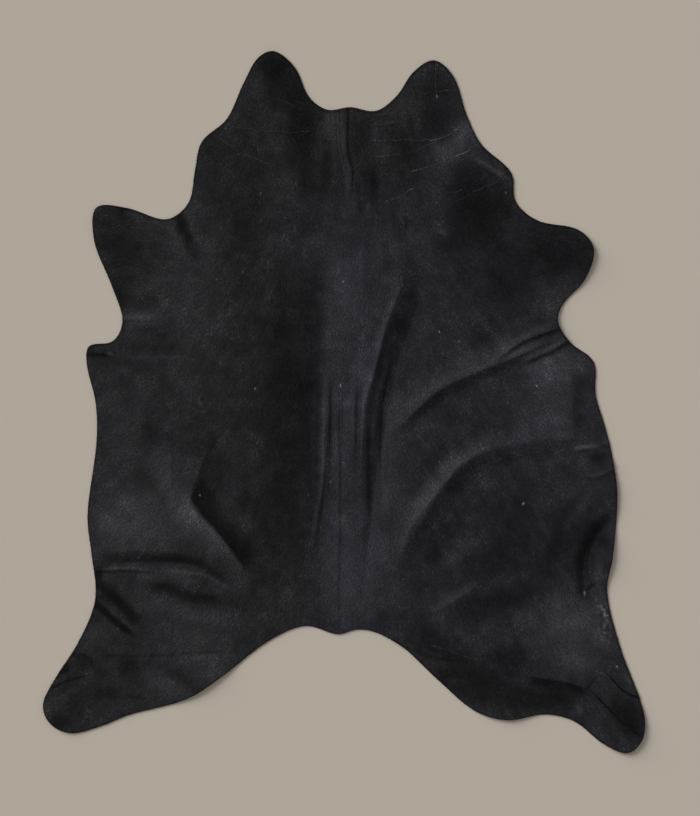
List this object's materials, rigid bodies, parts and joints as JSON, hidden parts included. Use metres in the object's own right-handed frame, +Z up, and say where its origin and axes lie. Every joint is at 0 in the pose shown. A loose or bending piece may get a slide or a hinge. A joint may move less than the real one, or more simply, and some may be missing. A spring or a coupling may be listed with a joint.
{
  "type": "cowhide rug",
  "caption": "Whole black cowhide with its short hair on, laid flat as a floor rug, with neck points, shanks and soft folds along its natural outline.",
  "frame": {"origin": "on the floor, under the middle of the hide's overall length and width", "axes": "+Z up out of the hair side, +Y along the spine towards the neck, +X to the right when looking down with the neck ahead"},
  "size_m": [1.8355, 2.1414, 0.0268],
  "materials": {
    "hair_on_hide": "short black hair on tanned skin, soft sheen"
  },
  "bodies": {
    "root": {"hide": "hair_on_hide"}
  },
  "joints": []
}
